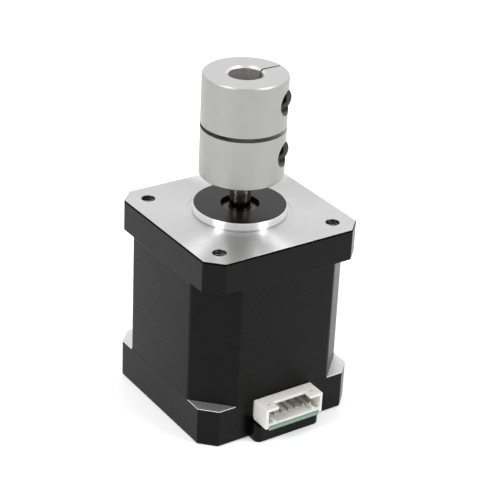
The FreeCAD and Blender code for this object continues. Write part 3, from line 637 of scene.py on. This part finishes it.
def pole_outline():
    """Inner outline of the stack: poles with their teeth, and the slots between them."""
    half_tooth = TOOTH_PITCH / 4
    reach = math.sqrt(YOKE_RADIUS ** 2 - POLE_HALF_WIDTH ** 2)
    shoe_turn = (POLE_TEETH - 1) * TOOTH_PITCH / 2 + half_tooth
    side_turn = math.degrees(math.atan2(POLE_HALF_WIDTH, reach))
    slot_turn = 180 / POLE_COUNT
    points = []
    for pole in range(POLE_COUNT):
        local = [on_circle(YOKE_RADIUS, turn) for turn in (-slot_turn, -(slot_turn + side_turn) / 2)]
        local += [Vector((reach, -POLE_HALF_WIDTH, 0)), Vector((POLE_NECK_RADIUS, -POLE_HALF_WIDTH, 0))]
        local.append(on_circle(POLE_SHOE_RADIUS, -shoe_turn))
        for tooth in range(POLE_TEETH):
            middle = (tooth - (POLE_TEETH - 1) / 2) * TOOTH_PITCH
            if tooth:
                local.append(on_circle(STATOR_NOTCH_RADIUS, middle - half_tooth))
            local += [on_circle(STATOR_BORE_RADIUS, middle + turn) for turn in (-half_tooth, 0, half_tooth)]
            if tooth < POLE_TEETH - 1:
                local.append(on_circle(STATOR_NOTCH_RADIUS, middle + half_tooth))
        local.append(on_circle(POLE_SHOE_RADIUS, shoe_turn))
        local += [Vector((POLE_NECK_RADIUS, POLE_HALF_WIDTH, 0)), Vector((reach, POLE_HALF_WIDTH, 0))]
        local.append(on_circle(YOKE_RADIUS, (slot_turn + side_turn) / 2))
        turn = Matrix.Rotation(2 * math.pi * pole / POLE_COUNT, 3, "Z")
        points += [turn @ point for point in local]
    return points


def stator_stack(material):
    """Stack of thin plates: a shallow groove shows between each pair."""
    low, high = (corner.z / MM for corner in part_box("stator_core"))
    plates = round((high - low) / LAMINATION_PITCH)
    pitch = (high - low) / plates
    mesh = bmesh.new()
    proud = stator_outline(0)
    sunk = stator_outline(LAMINATION_GROOVE)

    def level(points, height):
        return loop_of(mesh, [point + Vector((0, 0, height)) for point in points])

    rings = [level(proud, low)]
    for plate in range(plates):
        base = low + plate * pitch
        if plate:
            rings.append(level(sunk, base))
            rings.append(level(proud, base + LAMINATION_BEVEL))
        if plate < plates - 1:
            rings.append(level(proud, base + pitch - LAMINATION_BEVEL))
    rings.append(level(proud, high))
    for lower, upper in zip(rings, rings[1:]):
        bridge(mesh, lower, upper)
    holes = [pole_outline()]
    for x in (-SCREW_SQUARE_HALF, SCREW_SQUARE_HALF):
        for y in (-SCREW_SQUARE_HALF, SCREW_SQUARE_HALF):
            holes.append([Vector((x, y, 0)) + on_circle(SCREW_CLEARANCE_RADIUS, 15 * i) for i in range(24)])
    ends = {low: [rings[0]], high: [rings[-1]]}
    for outline in holes:
        lower, upper = level(outline, low), level(outline, high)
        bridge(mesh, upper, lower)
        ends[low].append(lower)
        ends[high].append(upper)
    for loops in ends.values():
        edges = [mesh.edges.get((loop[i - 1], loop[i])) for loop in loops for i in range(len(loop))]
        bmesh.ops.triangle_fill(mesh, edges=edges, use_beauty=True)
    bmesh.ops.recalc_face_normals(mesh, faces=mesh.faces)
    piece = add_piece("stator_stack", mesh, material, "motor_frame", 25)
    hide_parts("stator_core")


def thread_ridge(name, place, axis, length, material, body):
    """Helical ridge of a tapped hole that starts at place and runs along axis."""
    segments = 36
    turns = length / THREAD_PITCH
    steps = int(turns * segments)
    up = Vector(axis).normalized()
    turn_to_axis = up.to_track_quat("Z", "Y").to_matrix()
    mesh = bmesh.new()
    rings = []
    for step in range(steps + 1):
        share = min(1.0, step / (segments / 2), (steps - step) / (segments / 2))
        depth = THREAD_DEPTH * max(share, 0.05)
        half = THREAD_PITCH * THREAD_FOOT_SHARE
        flat = half - depth * math.tan(math.radians(30))
        angle = 360 * step / segments
        along = THREAD_PITCH * step / segments
        outer = THREAD_RADIUS + THREAD_FIT
        inner = THREAD_RADIUS - depth
        ring = []
        for radius, shift in ((outer, -half), (inner, -flat * 0.5), (inner, flat * 0.5), (outer, half)):
            point = on_circle(radius, angle) + Vector((0, 0, along + shift))
            ring.append(Vector(place) + turn_to_axis @ point)
        rings.append(loop_of(mesh, ring))
    for lower, upper in zip(rings, rings[1:]):
        bridge(mesh, lower, upper)
    mesh.faces.new(rings[0])
    mesh.faces.new(rings[-1])
    bmesh.ops.recalc_face_normals(mesh, faces=mesh.faces)
    add_piece(name, mesh, material, body, 40)


def mounting_threads(material):
    """Threads of the four mounting holes."""
    for i, (x, y) in enumerate((x, y) for x in (-1, 1) for y in (-1, 1)):
        mouth = (x * SCREW_SQUARE_HALF, y * SCREW_SQUARE_HALF, -0.3 - THREAD_PITCH / 2)
        thread_ridge(f"mounting_thread_{i + 1}", mouth, (0, 0, -1), MOUNTING_THREAD_LENGTH - THREAD_PITCH,
                     material, "motor_frame")


def ring_points(radius_at, height, count):
    """Loop whose radius depends on the direction."""
    points = []
    for i in range(count):
        degrees = 360 * i / count
        points.append(on_circle(radius_at(degrees), degrees) + Vector((0, 0, height)))
    return points


def cap_screw(name, node, material):
    """Socket-head cap screw: knurled head, hexagon socket and threaded shank."""
    count = 72
    height = (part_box(node)[0].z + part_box(node)[1].z) / 2 / MM
    mesh = bmesh.new()

    def knurled(depth):
        def radius_at(degrees):
            wave = 0.5 + 0.5 * math.cos(math.radians(degrees * KNURL_RIDGES))
            return CLAMP_HEAD_RADIUS - depth * wave
        return radius_at

    def plain(radius):
        return lambda degrees: radius

    def hexagon(apothem):
        return lambda degrees: apothem / math.cos(math.radians((degrees + 30) % 60 - 30))

    top = CLAMP_HEAD_HEIGHT
    profile = [
        (plain(THREAD_RADIUS), 0.0), (plain(CLAMP_HEAD_RADIUS - 0.15), 0.0), (plain(CLAMP_HEAD_RADIUS), 0.15),
        (knurled(KNURL_DEPTH), 0.3), (knurled(KNURL_DEPTH), top - 0.75),
        (plain(CLAMP_HEAD_RADIUS), top - 0.6), (plain(CLAMP_HEAD_RADIUS), top - 0.35),
        (plain(CLAMP_HEAD_RADIUS - 0.1), top - 0.12), (plain(CLAMP_HEAD_RADIUS - 0.32), top),
        (hexagon(CLAMP_KEY_APOTHEM + 0.14), top), (hexagon(CLAMP_KEY_APOTHEM), top - 0.14),
        (hexagon(CLAMP_KEY_APOTHEM), top - CLAMP_KEY_DEPTH), (plain(0.15), top - CLAMP_KEY_DEPTH - 0.5),
    ]
    rings = [loop_of(mesh, ring_points(radius_at, level, count)) for radius_at, level in profile]
    for lower, upper in zip(rings, rings[1:]):
        bridge(mesh, lower, upper)
    mesh.faces.new(rings[-1])
    shank_rings = threaded_shank(mesh, count)
    bridge(mesh, shank_rings[0], rings[0])
    bmesh.ops.recalc_face_normals(mesh, faces=mesh.faces)
    tilt = Matrix.Rotation(math.radians(90), 4, "X")
    shift = Matrix.Translation(Vector((CLAMP_SCREW_OFFSET, -CLAMP_SEAT, height)) * MM)
    bmesh.ops.transform(mesh, matrix=shift @ tilt, verts=mesh.verts)
    piece = add_piece(name, mesh, material, "rotor", 32)
    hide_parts(node)


def threaded_shank(mesh, count):
    """Loops of a shank with a helical thread, from the head down to the tip."""
    step = THREAD_PITCH / 6
    levels = int(CLAMP_SHANK_LENGTH / step)
    rings = []
    for i in range(levels + 1):
        depth_below = i * step

        def radius_at(degrees, below=depth_below):
            phase = (below / THREAD_PITCH + degrees / 360) % 1
            groove = THREAD_DEPTH * abs(2 * phase - 1)
            fade = min(1.0, below / (2 * THREAD_PITCH))
            tip = max(0.0, below - CLAMP_SHANK_LENGTH + CLAMP_TIP_TAPER)
            return THREAD_RADIUS - THREAD_FIT - groove * fade - tip

        rings.append(loop_of(mesh, ring_points(radius_at, -depth_below, count)))
    for upper, lower in zip(rings, rings[1:]):
        bridge(mesh, lower, upper)
    mesh.faces.new(rings[-1])
    return rings


def soften_node(name, width_mm):
    """Round a moulded CAD node's sharp edges without touching its own mesh."""
    node = frame["nodes"][name]
    weld = node.modifiers.new("weld", "WELD")
    weld.merge_threshold = 0.002 * MM
    bevel = node.modifiers.new("bevel", "BEVEL")
    bevel.width = width_mm * MM
    bevel.segments = 2
    bevel.limit_method = "ANGLE"
    bevel.angle_limit = math.radians(40)
    bevel.harden_normals = False


def build_pieces(materials):
    """Everything that Blender adds to the frame."""
    stator_stack(materials["lamination_black"])
    mounting_threads(materials["front_cover"])
    cap_screw("upper_cap_screw", "upper_clamp_screw", materials["black_oxide"])
    cap_screw("lower_cap_screw", "lower_clamp_screw", materials["black_oxide"])
    soften_node("connector_housing", HEADER_EDGE_BEVEL)


def add_floor():
    """Plain white floor under the motor."""
    mesh = bmesh.new()
    bmesh.ops.create_grid(mesh, x_segments=1, y_segments=1, size=4.0)
    plane = bpy.data.meshes.new("floor")
    mesh.to_mesh(plane)
    mesh.free()
    floor = bpy.data.objects.new("floor", plane)
    floor.location.z = CAD_BOX[0].z - FLOOR_GAP * MM
    bpy.context.scene.collection.objects.link(floor)
    s = Surface("floor_white")
    shader = s.shader(0.9, 0.6, Emission_Strength=FLOOR_GLOW)
    shader.inputs["Emission Color"].default_value = (1, 1, 1, 1)
    plane.materials.append(s.finish(shader))


add_camera()
add_studio()
add_floor()
surfaces = build_materials()
dress_cad_nodes(surfaces)
build_pieces(surfaces)
